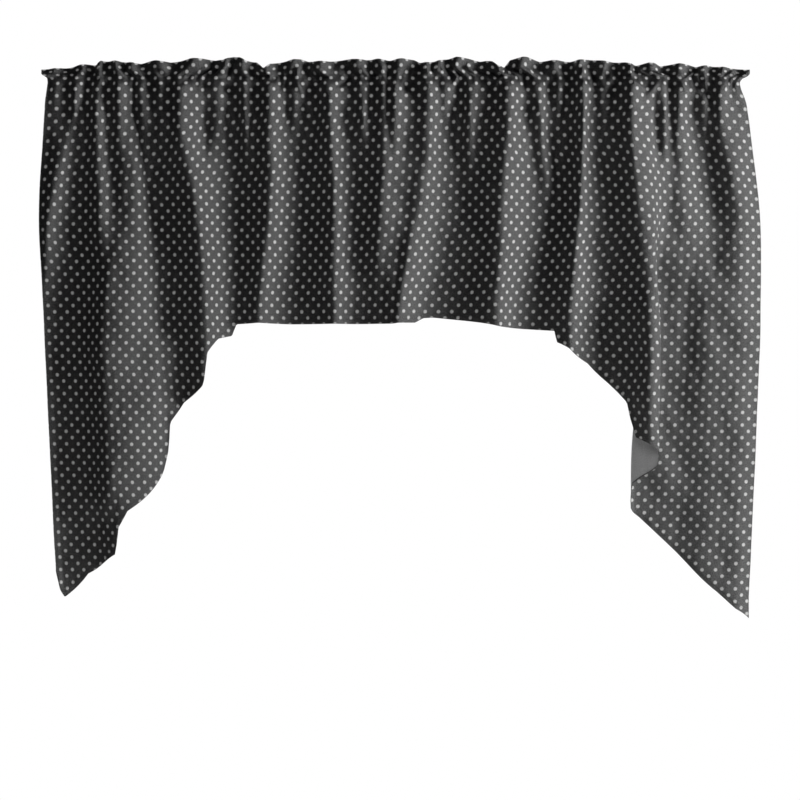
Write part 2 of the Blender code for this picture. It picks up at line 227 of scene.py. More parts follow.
FRILL_EDGE = tuple(
    EdgePoint(*row)
    for row in (
        (-605, -18), (-585, -16), (-554, -15), (-541, -11), (-524, -9), (-513, -10), (-504, -4),
        (-488, -3), (-462, -5), (-437, -8), (-422, -4), (-411, -3), (-386, -6), (-371, -4), (-350, 0),
        (-330, 0), (-309, -2), (-297, -2), (-279, 5), (-269, 3), (-258, -3), (-240, -5), (-228, -17),
        (-218, -9), (-197, -5), (-177, -1), (-162, -1), (-146, -5), (-116, -4), (-95, -2), (-80, 0),
        (-54, -2), (-34, 0), (-14, -3), (7, 0), (27, -1), (38, -7), (48, -7), (68, -3), (99, 3),
        (119, 1), (139, -4), (150, -3), (160, -5), (170, -13), (180, -15), (190, -2), (211, 3),
        (221, 3), (241, -4), (262, -2), (292, -4), (323, -1), (354, -4), (384, -7), (405, -11),
        (425, -7), (435, -8), (445, -12), (456, -10), (476, -8), (496, -10), (507, -13), (527, -11),
        (547, -14), (568, -16), (590, -18),
    )
)


class Profile(NamedTuple):
    """The front of the cloth at one drop on its way over the rod.

    stand is how far it stands before the rod's axis, gather how far the gathers swing, and
    fold the share of the skirt's folds that has formed.
    """

    drop: float
    stand: float
    gather: float
    fold: float


FRONT = (
    Profile(0.0, 6.0, 8.0, 0.15),
    Profile(16.0, 7.0, 7.0, 0.18),
    Profile(UPPER_SEAM, 8.0, 4.0, 0.22),
    Profile(42.0, 17.0, 6.5, 0.36),
    Profile(62.0, 22.0, 5.5, 0.50),
    Profile(80.0, 20.5, 5.0, 0.62),
    Profile(LOWER_SEAM, 19.0, 4.5, 0.70),
    Profile(130.0, 11.5, 2.5, 0.92),
    Profile(170.0, 5.0, 0.8, 1.00),
    Profile(240.0, 0.0, 0.0, 1.00),
)


class Wall(NamedTuple):
    """The pocket's back wall at one drop: how far it stands behind the axis, and its swing."""

    drop: float
    bulge: float
    gather: float


BACK = (
    Wall(44.0, 13.5, 4.5),
    Wall(61.0, 18.5, 3.5),
    Wall(77.0, 12.0, 4.5),
)


def ease(value: Array) -> Array:
    """Return 0 below 0, 1 above 1 and a smooth step between."""
    value = np.clip(value, 0.0, 1.0)
    return value * value * (3.0 - 2.0 * value)


def hermite(start: Array, end: Array, leave: Array | float, arrive: Array | float, part: Array) -> Array:
    """Return the cubic from start to end whose slopes are leave at part 0 and arrive at part 1."""
    turn = part * (1.0 - part)
    rise = part * part * (3.0 - 2.0 * part)
    return start + (end - start) * rise + turn * (leave * (1.0 - part) - arrive * part)


class Curve:
    """A smooth curve through values at rising stops."""

    def __init__(self, stops: Sequence[float], values: Sequence[float]) -> None:
        """Keep the value at each rising stop and work out the slope there."""
        self.stops = np.asarray(stops, float)
        self.values = np.asarray(values, float)
        self.slopes = np.gradient(self.values, self.stops)

    def at(self, place: Array) -> Array:
        """Return the curve's value at each place, level outside its stops."""
        place = np.clip(place, self.stops[0], self.stops[-1])
        step = np.clip(np.searchsorted(self.stops, place, side="right") - 1, 0, len(self.stops) - 2)
        span = self.stops[step + 1] - self.stops[step]
        part = (place - self.stops[step]) / span
        return hermite(
            self.values[step],
            self.values[step + 1],
            self.slopes[step] * span,
            self.slopes[step + 1] * span,
            part,
        )


class Ripple:
    """Smooth unevenness over the cloth, a sum of waves with seeded directions."""

    spread: ClassVar[tuple[float, float]] = (0.6, 1.8)
    strengths: ClassVar[tuple[float, float]] = (0.5, 1.0)

    def __init__(self, seed: int, across: float, down: float, waves: int = 14) -> None:
        """Draw the waves.

        Args:
            seed: start of the random draws.
            across: usual wave length along x, in millimetres.
            down: usual wave length along the drop, in millimetres.
            waves: how many waves are summed.
        """
        draws = np.random.default_rng(seed)
        self.across = math.tau / (across * draws.uniform(*self.spread, waves))
        self.down = math.tau / (down * draws.uniform(*self.spread, waves)) * draws.choice((-1, 1), waves)
        self.phase = draws.uniform(0.0, math.tau, waves)
        self.strength = draws.uniform(*self.strengths, waves) / math.sqrt(waves / 2.0)

    def at(self, x: Array, drop: Array) -> Array:
        """Return the unevenness at each place, mostly between -1 and 1."""
        total = np.zeros_like(x)
        for across, down, phase, strength in zip(self.across, self.down, self.phase, self.strength):
            total += strength * np.sin(across * x + down * drop + phase)
        return total


# The unevenness of the whole cloth, of the frill and of the pocket's back wall
BROAD_RIPPLE = Ripple(seed=7, across=90.0, down=150.0)
FINE_RIPPLE = Ripple(seed=11, across=26.0, down=70.0)
FRILL_RIPPLE = Ripple(seed=19, across=24.0, down=45.0)
WALL_RIPPLE = Ripple(seed=23, across=24.0, down=60.0)


class Wave(NamedTuple):
    """A wave along x: its height, its length over tau and its start."""

    height: float
    length: float
    start: float = 0.0

    def at(self, x: Array) -> Array:
        """Return the wave's value at each x."""
        return self.height * np.sin(x / self.length + self.start)


@dataclass(frozen=True)
class Drape:
    """The shape in which the cloth hangs, the same for the heading and the skirt.

    A place on the cloth is given by its segment between two fold lines, its part of that
    segment from 0 to 1, and its drop.
    """

    fullness: float = 1.18
    crease_growth: float = 55.0
    growth_share: float = 0.4
    crease_fade: float = 0.5
    gather_sharpness: float = 1.25
    pucker_rise: float = 1.8
    pucker_pitch: float = 13.0
    pucker_reach: float = 17.0
    pucker_wander: tuple[Wave, ...] = (Wave(5.0, 37.0), Wave(4.0, 23.0, 1.7), Wave(3.0, 61.0, 0.4))
    pucker_lean: Wave = Wave(0.18, 47.0, 0.9)
    pucker_mean: float = 0.65
    pucker_change: Wave = Wave(0.35, 29.0, 2.1)
    neck: tuple[float, float] = (5.0, 14.0)
    neck_drop: float = 42.0
    neck_reach: tuple[float, float] = (13.0, 29.0)
    neck_start: float = 0.93
    frill_wrinkle: float = 3.0
    frill_hold: float = 0.4
    unevenness: float = 0.9
    fine_share: float = 0.35
    low_from: float = 240.0
    low_to: float = 420.0

    def line_places(self, drop: Array) -> Array:
        """Return the x of every fold line at each drop, one row for each line."""
        return np.stack([Curve(LEVELS, line[:5]).at(drop) for line in FOLD_LINES])

    def hem_drop(self, segment: Array, part: Array) -> Array:
        """Return the drop at which each place of a segment meets the hem."""
        places = [point.place for point in HEM]
        return np.interp(segment + part, places, [point.drop for point in HEM])

    def section(
        self, segment: Array, part: Array, drop: Array
    ) -> tuple[Array, Array]:
        """Return x and the depth of the skirt's folds alone.

        Args:
            segment: number of the fold line to the left of each place.
            part: share of the way to the next line.
            drop: distance below the top edge.

        Returns:
            The x and the depth of each place.
        """
        low = np.maximum(drop, LOWER_SEAM)
        places = self.line_places(low)
        index = np.arange(len(drop))
        here = places[segment, index]
        after = places[segment + 1, index]
        table = {
            name: np.array([getattr(line, name) for line in FOLD_LINES]) for name in FoldLine._fields[5:]
        }
        hems = self.hem_drop(segment, np.zeros_like(part))
        reach = np.clip((low - LOWER_SEAM) / (hems - LOWER_SEAM), 0.0, 1.0)
        span = np.maximum(after - here, 0.0)
        turn = table["turn"][segment] * reach
        leave = span * table["right"][segment] + turn
        arrive = span * table["left"][segment + 1] + turn
        x = hermite(here, after, leave, arrive, part)
        lowered = ease((low - self.low_from) / (self.low_to - self.low_from))
        depth = table["depth"][:, None] * (1.0 - lowered) + table["low_depth"][:, None] * lowered
        return x, hermite(depth[segment, index], depth[segment + 1, index], 0.0, 0.0, part)

    def gather_wave(self, x: Array) -> Array:
        """Return the gathers' swing at each pocket x, 1 on a full crest and -1 in a full hollow."""
        left, right = HEADING_ENDS["pocket"]
        stops = np.array([left, *[gather.pocket for gather in GATHERS], right])
        rises = np.array([END_RISE, *[gather.rise for gather in GATHERS], END_RISE])
        step = np.clip(np.searchsorted(stops, x, side="right") - 1, 0, len(stops) - 2)
        part = np.clip((x - stops[step]) / (stops[step + 1] - stops[step]), 0.0, 1.0)
        rise = rises[step] + (rises[step + 1] - rises[step]) * part
        crest = (0.5 + 0.5 * np.cos(math.tau * part)) ** self.gather_sharpness
        return rise * (2.0 * crest - 1.0)

    def frill_shift(self, x: Array) -> Array:
        """Return how far the frill's gathers lie beside the pocket's."""
        first, last = zip(HEADING_ENDS["frill"], HEADING_ENDS["pocket"])
        rows = [first, *[(gather.frill, gather.pocket) for gather in GATHERS], last]
        return Curve([pocket for _, pocket in rows], [frill - pocket for frill, pocket in rows]).at(x)

    def frill_share(self, drop: Array) -> Array:
        """Return how much of that shift there is at each drop, none from the stitch row down."""
        run = (drop / UPPER_SEAM - self.frill_hold) / (1.0 - self.frill_hold)
        return 1.0 - ease(run)

    def creases(self, x: Array, drop: Array) -> Array:
        """Return how far the short creases push the cloth back."""
        depth = np.zeros_like(x)
        for crease in (*CREASES, *PINCHES):
            run = np.maximum(drop - crease.starts, 0.0) / (crease.fades - crease.starts)
            centre = crease.top + (crease.end - crease.top) * run
            growth = min(self.crease_growth, self.growth_share * (crease.fades - crease.starts))
            strength = ease((drop - crease.starts) / growth)
            strength = strength * ease((1.0 - run) / self.crease_fade)
            depth -= crease.rise * strength * np.exp(-(((x - centre) / crease.width) ** 2))
        return depth

    def puckers(self, x: Array, drop: Array) -> Array:
        """Return the small pinched folds on both sides of the upper stitch row."""
        below = (drop - UPPER_SEAM) / self.pucker_reach
        wander = sum(wave.at(x) for wave in self.pucker_wander)
        lean = self.pucker_lean.at(x) * (drop - UPPER_SEAM)
        phase = math.tau * (x + wander + lean) / self.pucker_pitch
        size = self.pucker_mean + self.pucker_change.at(x)
        return -self.pucker_rise * size * np.sin(phase) * np.exp(-(below**2))

    def front(self, segment: Array, part: Array, drop: Array) -> Array:
        """Return the points of the front surface, in millimetres.

        Args:
            segment: number of the fold line to the left of each place.
            part: share of the way to the next line.
            drop: distance below the top edge.

        Returns:
            One row of x, depth and height for each place.
        """
        x, fold_depth = self.section(segment, part, drop)
        stops = [profile.drop for profile in FRONT]
        stand = Curve(stops, [profile.stand for profile in FRONT]).at(drop)
        swing = Curve(stops, [profile.gather for profile in FRONT]).at(drop)
        fold = Curve(stops, [profile.fold for profile in FRONT]).at(drop)
        depth = self.fullness * (fold_depth * fold + self.creases(x, drop)) - stand
        depth -= swing * self.gather_wave(x)
        depth += self.puckers(x, drop)
        uneven = BROAD_RIPPLE.at(x, drop) + self.fine_share * FINE_RIPPLE.at(x, drop)
        depth += self.unevenness * uneven
        on_frill = np.exp(-(((drop - 0.5 * UPPER_SEAM) / (0.5 * UPPER_SEAM)) ** 2))
        depth += self.frill_wrinkle * FRILL_RIPPLE.at(x, drop) * on_frill
        left, right = HEADING_ENDS["pocket"]
        side = 2.0 * (x - left) / (right - left) - 1.0
        x = x + self.frill_shift(x) * self.frill_share(drop)
        edge = np.interp(x, [point.x for point in FRILL_EDGE], [point.height for point in FRILL_EDGE])
        near_end = ease((np.abs(side) - self.neck_start) / (1.0 - self.neck_start))
        neck = np.where(side < 0.0, *self.neck)
        reach = np.where(drop < self.neck_drop, *self.neck_reach)
        drawn_in = neck * near_end * np.exp(-(((drop - self.neck_drop) / reach) ** 2))
        x = x - np.sign(side) * drawn_in
        height = edge * np.clip(1.0 - drop / UPPER_SEAM, 0.0, 1.0) - drop
        return np.stack([x, depth, height], axis=1)


def grid_normals(points: Array) -> Array:
    """Return unit normals, towards the room, of points given as columns by rows by 3."""
    across = np.gradient(points, axis=0)
    down = np.gradient(points, axis=1)
    normals = np.cross(across, -down)
    normals /= np.maximum(np.linalg.norm(normals, axis=2, keepdims=True), 1e-9)
    return normals


class FlatMap:
    """Where each place of the hanging cloth lies on the flat cloth, so that dots stay round."""

    fine: ClassVar[int] = 24
    middle: ClassVar[int] = 12
    flap_start: ClassVar[float] = 19.25
    flap_end: ClassVar[float] = 19.75
    straight_above: ClassVar[float] = 84.0
    heading_step: ClassVar[float] = 6.0
    skirt_step: ClassVar[float] = 15.0
    lowest: ClassVar[float] = 961.0
    edge_rows: ClassVar[int] = 14
    before_end: ClassVar[float] = 1.001

    def __init__(self, drape: Drape) -> None:
        """Measure the cloth along level lines.

        Args:
            drape: the shape in which the cloth hangs.
        """
        segments = len(FOLD_LINES) - 1
        self.places = np.arange(segments * self.fine + 1) / self.fine
        on_heading = np.arange(0.0, LOWER_SEAM, self.heading_step)
        on_skirt = np.arange(LOWER_SEAM, self.lowest, self.skirt_step)
        self.drops = np.concatenate([on_heading, on_skirt])
        segment = np.minimum(self.places.astype(int), segments - 1)
        part = self.places - segment
        self.lengths = np.zeros((len(self.drops), len(self.places)))
        for row, drop in enumerate(self.drops):
            line = drape.front(segment, part, np.full(len(part), drop))
            run = np.linalg.norm(np.diff(line[:, :2], axis=0), axis=1)
            self.lengths[row, 1:] = np.cumsum(run)
        at_seam = np.searchsorted(self.drops, LOWER_SEAM)
        middle = self.middle * self.fine
        start = int(self.flap_start * self.fine)
        end = int(self.flap_end * self.fine)
        self.across_flat = self.lengths - self.lengths[:, middle : middle + 1]
        seam = self.across_flat[at_seam]
        edges = slice(at_seam, at_seam + self.edge_rows)
        left = np.mean(self.across_flat[edges, 0])
        self.across_flat[:, :middle] *= left / self.across_flat[:, :1]
        right_edge = np.mean(self.across_flat[edges, -1])
        from_right = right_edge - (self.lengths[:, -1:] - self.lengths)
        share = np.clip((np.arange(len(self.places)) - start) / (end - start), 0.0, 1.0)
        self.across_flat += (from_right - self.across_flat) * share
        LOG.info("level widths in mm: %s", (self.lengths[at_seam::6, -1]).round())
        LOG.info("flat width at the seam in mm: %.0f", seam[-1] - seam[0])

    def across(self, place: Array, drop: Array) -> Array:
        """Return the place across the flat cloth, in millimetres from its middle."""
        column = np.clip(place * self.fine, 0.0, len(self.places) - self.before_end)
        row = np.interp(np.maximum(drop, self.straight_above), self.drops, np.arange(len(self.drops)))
        row = np.clip(row, 0.0, len(self.drops) - self.before_end)
        left = column.astype(int)
        upper = row.astype(int)
        beside = column - left
        below = row - upper
        flat = self.across_flat
        high = flat[upper, left] * (1.0 - beside) + flat[upper, left + 1] * beside
        low = flat[upper + 1, left] * (1.0 - beside) + flat[upper + 1, left + 1] * beside
        return high * (1.0 - below) + low * below


@dataclass(frozen=True)
class Columns:
    """The cloth's columns, spaced evenly along its width."""

    spaced_above: ClassVar[float] = 720.0
    segment: Array
    part: Array

    @property
    def place(self) -> Array:
        """Return the number of fold lines to the left of each column, with its share."""
        return self.segment + self.part

    def surface(self, drape: Drape, drops: Array) -> Array:
        """Return rows of the front surface, columns by rows by 3.

        Args:
            drape: the shape in which the cloth hangs.
            drops: the drop of each row, the same for all columns or columns by rows.

        Returns:
            The points, in millimetres.
        """
        rows = drops.shape[-1]
        every = np.broadcast_to(drops, (len(self.segment), rows)).ravel()
        segment = np.repeat(self.segment, rows)
        part = np.repeat(self.part, rows)
        return drape.front(segment, part, every).reshape(-1, rows, 3)

    @classmethod
    def spaced(cls, flat_map: FlatMap, count: int) -> "Columns":
        """Return columns spaced evenly along the cloth.

        Args:
            flat_map: the measured cloth.
            count: how many columns there are.

        Returns:
            The columns.
        """
        rows = (flat_map.drops >= LOWER_SEAM) & (flat_map.drops < cls.spaced_above)
        length = flat_map.lengths[rows].mean(axis=0)
        place = np.interp(np.linspace(0.0, length[-1], count), length, flat_map.places)
        segment = np.clip(place.astype(int), 0, len(FOLD_LINES) - 2)
        return cls(segment, place - segment)


class ClothMesh:
    """A grid of cloth made from a grid primitive, with its flat map."""

    pocket_below: ClassVar[float] = 0.04
    pocket_before: ClassVar[float] = 0.008

    def __init__(self, name: str, points: Array, flat: Array, edge: Array) -> None:
        """Add a grid and shape it.

        Args:
            name: the piece's name.
            points: columns by rows by 3, in millimetres.
            flat: columns by rows by 2, the place on the flat cloth in metres.
            edge: one value for each row, 1 along a folded edge, where the print is left off as a painted
                shade line, and 0 elsewhere.
        """
        columns, rows = points.shape[:2]
        bpy.ops.object.select_all(action="DESELECT")
        bpy.ops.mesh.primitive_grid_add(x_subdivisions=columns - 1, y_subdivisions=rows - 1, size=1.0)
        self.piece = bpy.context.object
        self.piece.name = name
        mesh = self.piece.data
        mesh.name = name
        # The primitive counts its points along x first, and its rows run upwards
        ordered = points[:, ::-1].transpose(1, 0, 2).reshape(-1, 3) * MM
        mesh.vertices.foreach_set("co", ordered.ravel())
        mapped = flat[:, ::-1].transpose(1, 0, 2).reshape(-1, 2)
        corner = np.empty(len(mesh.loops), dtype=np.int32)
        mesh.loops.foreach_get("vertex_index", corner)
        layer = mesh.uv_layers.active
        layer.name = FLAT_MAP
        layer.data.foreach_set("uv", mapped[corner].astype(np.float32).ravel())
        # Rows of the painted shade line along the folded hem, where the print is left off
        along = mesh.attributes.new(PAINTED_SHADE_EDGE_MAP, "FLOAT", "POINT")
        along.data.foreach_set("value", np.repeat(edge[::-1], columns).astype(np.float32))
        mesh.update()

    def face_room(self) -> None:
        """Turn the faces so that those below the frill and before the rod look to the room."""
        total = 0.0
        for face in self.piece.data.polygons:
            if face.center.z < -self.pocket_below and face.center.y < -self.pocket_before:
                total += face.normal.y
        if total > 0.0:
            self.piece.data.flip_normals()

    def thicken(self, thickness: float, finishes: Sequence[bpy.types.Material]) -> None:
        """Give the sheet its thickness, with the second finish on its inner side.

        Args:
            thickness: in millimetres.
            finishes: the finish of the face and the finish of the back.
        """
        self.activate()
        for finish in finishes:
            self.piece.data.materials.append(finish)
        wall = self.piece.modifiers.new("thickness", "SOLIDIFY")
        wall.thickness = thickness * MM
        wall.offset = 0.0
        wall.use_rim = True
        wall.material_offset = 1
        wall.material_offset_rim = 0
        bpy.ops.object.modifier_apply(modifier=wall.name)
        bpy.ops.object.shade_smooth_by_angle(angle=SMOOTH_ANGLE)

    def activate(self) -> None:
        """Select this piece alone and make it active."""
        bpy.ops.object.select_all(action="DESELECT")
        self.piece.select_set(True)
        bpy.context.view_layer.objects.active = self.piece


class Graph:
    """A node tree with short ways to add nodes and join them."""

    def __init__(self, tree: bpy.types.NodeTree) -> None:
        """Keep the tree."""
        self.tree = tree

    def link(self, start: Socket, end: Socket) -> None:
        """Join an output to an input."""
        self.tree.links.new(start, end)

    def add(self, kind: str, inputs: dict | None = None, **settings: object) -> bpy.types.Node:
        """Add a node.

        Args:
            kind: the node's type.
            inputs: values or sockets for its inputs, by name or number.
            **settings: attributes of the node.

        Returns:
            The node.
        """
        node = self.tree.nodes.new(kind)
        for name, value in settings.items():
            setattr(node, name, value)
        for name, value in (inputs or {}).items():
            if isinstance(value, Socket):
                self.link(value, node.inputs[name])
            else:
                node.inputs[name].default_value = value
        return node

    def math(
        self, operation: str, first: Value, second: Value = 0.0, third: Value = 0.0, clamp: bool = False
    ) -> Socket:
        """Return the result of a math node on up to three values or sockets."""
        inputs = {0: first, 1: second, 2: third}
        node = self.add("ShaderNodeMath", inputs, operation=operation, use_clamp=clamp)
        return node.outputs[0]

    def blend(self, factor: Value, first: object, second: object) -> Socket:
        """Return a colour between two colours, which are the mix node's inputs 6 and 7."""
        inputs = {0: factor, 6: first, 7: second}
        return self.add("ShaderNodeMix", inputs, data_type="RGBA").outputs[2]

    def remap(self, value: Value, limits: tuple[float, float], to: tuple[float, float]) -> Socket:
        """Return a value moved from one range to another, clamped."""
        inputs = {0: value, 1: limits[0], 2: limits[1], 3: to[0], 4: to[1]}
        return self.add("ShaderNodeMapRange", inputs).outputs[0]

    def noise(self, vector: Value, scale: float, detail: float) -> Socket:
        """Return the value of a noise texture."""
        inputs = {"Vector": vector, "Scale": scale, "Detail": detail}
        return self.add("ShaderNodeTexNoise", inputs).outputs[0]


def new_material(name: str) -> tuple[bpy.types.Material, Graph]:
    """Start a material with an empty node tree, and return it with its graph."""
    material = bpy.data.materials.new(name)
    material.use_nodes = True
    material.node_tree.nodes.clear()
    return material, Graph(material.node_tree)


def new_group(
    name: str, inputs: dict[str, float | None], outputs: Sequence[str]
) -> tuple[bpy.types.NodeTree, Graph, bpy.types.Node, bpy.types.Node]:
    """Start a shader node group.

    Args:
        name: the group's name.
        inputs: its inputs, None for a vector and a number for a value with that default.
        outputs: the names of its value outputs.

    Returns:
        The group, its graph, its input node and its output node.
    """
    group = bpy.data.node_groups.new(name, "ShaderNodeTree")
    for label, default in inputs.items():
        kind = "NodeSocketVector" if default is None else "NodeSocketFloat"
        socket = group.interface.new_socket(label, in_out="INPUT", socket_type=kind)
        if default is not None:
            socket.default_value = default
    for label in outputs:
        group.interface.new_socket(label, in_out="OUTPUT", socket_type="NodeSocketFloat")
    graph = Graph(group)
    return group, graph, graph.add("NodeGroupInput"), graph.add("NodeGroupOutput")


@dataclass(frozen=True)
class DotPrint:
    """The printed dots: two even grids of dots, one set between the other, in metres."""

    across: float = 0.0228
    down: float = 0.0214
    radius: float = 0.0030
    soft: float = 0.0007
    wobble: float = 0.0008
    wobble_scale: float = 900.0
    whole_pitches: float = 100.0

    def group(self) -> bpy.types.NodeTree:
        """Build the group, which puts out a mask, 1 inside the dots."""
        sizes = {"Across": self.across, "Down": self.down, "Radius": self.radius, "Soft": self.soft}
        group, graph, start, end = new_group("printed_dots", {"Flat": None, **sizes}, ("Mask",))
        parts = graph.add("ShaderNodeSeparateXYZ", {0: start.outputs["Flat"]})

        def squared(axis: int, pitch: Socket, shift: float) -> Socket:
            """Return the squared distance along one axis to the nearest row of dots."""
            place = graph.math("DIVIDE", parts.outputs[axis], pitch)
            place = graph.math("FRACT", graph.math("ADD", place, shift + self.whole_pitches))
            place = graph.math("MULTIPLY", graph.math("SUBTRACT", place, 0.5), pitch)
            return graph.math("MULTIPLY", place, place)

        distances = []
        for shift in (0.0, 0.5):
            along = squared(0, start.outputs["Across"], shift)
            down = squared(1, start.outputs["Down"], shift)
            distances.append(graph.math("SQRT", graph.math("ADD", along, down)))
        nearest = graph.math("MINIMUM", *distances)
        wobble = graph.noise(start.outputs["Flat"], self.wobble_scale, 1.0)
        rough = graph.math("MULTIPLY_ADD", wobble, self.wobble, -0.5 * self.wobble)
        inside = graph.math("SUBTRACT", start.outputs["Radius"], graph.math("ADD", nearest, rough))
        inside = graph.math("DIVIDE", inside, start.outputs["Soft"])
        graph.link(graph.math("MULTIPLY_ADD", inside, 0.5, 0.5, True), end.inputs["Mask"])
        return group


@dataclass(frozen=True)
class PlainWeave:
    """Threads over and under each other, thick and thin places, and fuzz.

    The thread is in metres, and the scales are for each metre of flat cloth.
    """

    thread: float = 0.00042
    slub_scales: tuple[float, float] = (420.0, 3000.0)
    slub_share: float = 0.35
    speck_scale: float = 620.0
    speck_share: float = 0.55
    cloud_scale: float = 7.0

    def group(self) -> bpy.types.NodeTree:
        """Build the group, which puts out the threads' height, the grain and broad clouds."""
        outputs = ("Height", "Grain", "Cloud")
        group, graph, start, end = new_group("plain_weave", {"Flat": None, "Thread": self.thread}, outputs)
        flat = start.outputs["Flat"]
        parts = graph.add("ShaderNodeSeparateXYZ", {0: flat})
        waves = []
        slubs = []
        for axis, scales in enumerate((self.slub_scales, self.slub_scales[::-1])):
            phase = graph.math("DIVIDE", parts.outputs[axis], start.outputs["Thread"])
            waves.append(graph.math("SINE", graph.math("MULTIPLY", phase, math.pi)))
            squeezed = graph.add("ShaderNodeVectorMath", {0: flat, 1: (*scales, 0.0)}, operation="MULTIPLY")
            slubs.append(graph.noise(squeezed.outputs[0], 1.0, 2.0))
        grain = graph.math("MULTIPLY", graph.math("ADD", *slubs), self.slub_share)
        specks = graph.noise(flat, self.speck_scale, 2.0)
        graph.link(graph.math("MULTIPLY", *waves), end.inputs["Height"])
        graph.link(graph.math("MULTIPLY_ADD", specks, self.speck_share, grain), end.inputs["Grain"])
        graph.link(graph.noise(flat, self.cloud_scale, 3.0), end.inputs["Cloud"])
        return group


class Side(Enum):
    """The two sides of the cloth."""

    FACE = "face"
    BACK = "back"


@dataclass(frozen=True)
class ClothFinish:
    """The look of one side of the cloth, colours as linear red, green and blue."""

    side: Side
    dark: Colour
    light: Colour
    print_dark: Colour
    print_light: Colour
    print_strength: float
    roughness: float
    index: float
    sheen: float
    sheen_roughness: float = 0.45
    grain_limits: tuple[float, float] = (0.50, 0.75)
    gloss: tuple[float, float] = (0.30, 1.15)
    cloud_limits: tuple[float, float] = (0.3, 0.7)
    cloud_change: tuple[float, float] = (-0.03, 0.03)
    thread_share: float = 0.25
    relief: float = 0.8
    relief_height: float = 0.0005

    def material(self, dots: bpy.types.NodeTree, weave: bpy.types.NodeTree) -> bpy.types.Material:
        """Build the material.

        Args:
            dots: the group of printed dots.
            weave: the group of the weave.

        Returns:
            The material.
        """
        material, graph = new_material(f"printed_cloth_{self.side.value}")
        flat = graph.add("ShaderNodeUVMap", uv_map=FLAT_MAP).outputs[0]
        cloth = graph.add("ShaderNodeGroup", node_tree=weave)
        graph.link(flat, cloth.inputs["Flat"])
        printed = graph.add("ShaderNodeGroup", node_tree=dots)
        graph.link(flat, printed.inputs["Flat"])
        shade = graph.remap(cloth.outputs["Grain"], self.grain_limits, (0.0, 1.0))
        ground = graph.blend(shade, (*self.dark, 1.0), (*self.light, 1.0))
        ink = graph.blend(shade, (*self.print_dark, 1.0), (*self.print_light, 1.0))
        # Along the folded hem the print is left off, so the dark ground shows as a painted shade line
        edge = graph.add("ShaderNodeAttribute", attribute_name=PAINTED_SHADE_EDGE_MAP).outputs["Fac"]
        print_outside_shade_line = graph.math("SUBTRACT", 1.0, edge, clamp=True)
        print_outside_shade_line = graph.math("MULTIPLY", print_outside_shade_line, self.print_strength)
        mask = graph.math("MULTIPLY", printed.outputs["Mask"], print_outside_shade_line)
        colour = graph.blend(mask, ground, ink)
        gloss = graph.remap(cloth.outputs["Grain"], self.grain_limits, self.gloss)
        cloudy = graph.remap(cloth.outputs["Cloud"], self.cloud_limits, self.cloud_change)
        rough = graph.math("ADD", cloudy, self.roughness)
        threads = graph.math("MULTIPLY", cloth.outputs["Height"], self.thread_share)
        height = graph.math("ADD", threads, cloth.outputs["Grain"])
        relief = {"Strength": self.relief, "Distance": self.relief_height, "Height": height}
        bump = graph.add("ShaderNodeBump", relief)
        shader = graph.add(
            "ShaderNodeBsdfPrincipled",
            {
                "Base Color": colour,
                "Roughness": rough,
                "Normal": bump.outputs[0],
                "Sheen Weight": self.sheen,
                "Sheen Roughness": self.sheen_roughness,
                "IOR": self.index,
                "Specular IOR Level": gloss,
            },
        )
        end = graph.add("ShaderNodeOutputMaterial")
        graph.link(shader.outputs[0], end.inputs[0])
        material.diffuse_color = (*self.dark, 1.0)
        return material


FACE_FINISH = ClothFinish(
    side=Side.FACE,
    dark=(0.0040, 0.0040, 0.0043),
    light=(0.0125, 0.0125, 0.0130),
    print_dark=(0.46, 0.46, 0.46),
    print_light=(0.68, 0.68, 0.67),
    print_strength=1.0,
    roughness=0.60,
    index=1.9,
    sheen=0.02,
)
BACK_FINISH = ClothFinish(
    side=Side.BACK,
    dark=(0.39, 0.39, 0.395),
    light=(0.56, 0.56, 0.565),
    print_dark=(0.44, 0.44, 0.44),
    print_light=(0.61, 0.61, 0.61),
    print_strength=0.35,
    roughness=0.68,
    index=1.5,
    sheen=0.05,
)


# Rows a millimetre above, on and below a seam, from which its normals are taken
BESIDE_SEAM = np.array([-1.0, 0.0, 1.0])


@dataclass
class Sheet:
    """What both sheets of cloth are made with, lengths in millimetres."""

    drape: Drape
    flat_map: FlatMap
    finishes: Sequence[bpy.types.Material]
    thickness: float = 0.5

    def finish(self, name: str, points: Array, flat: Array, edge: Array) -> bpy.types.Object:
        """Make the mesh, turn it to the room, give it its thickness and return its object."""
        cloth = ClothMesh(name, points, flat, edge)
        cloth.face_room()
        cloth.thicken(self.thickness, self.finishes)
        return cloth.piece


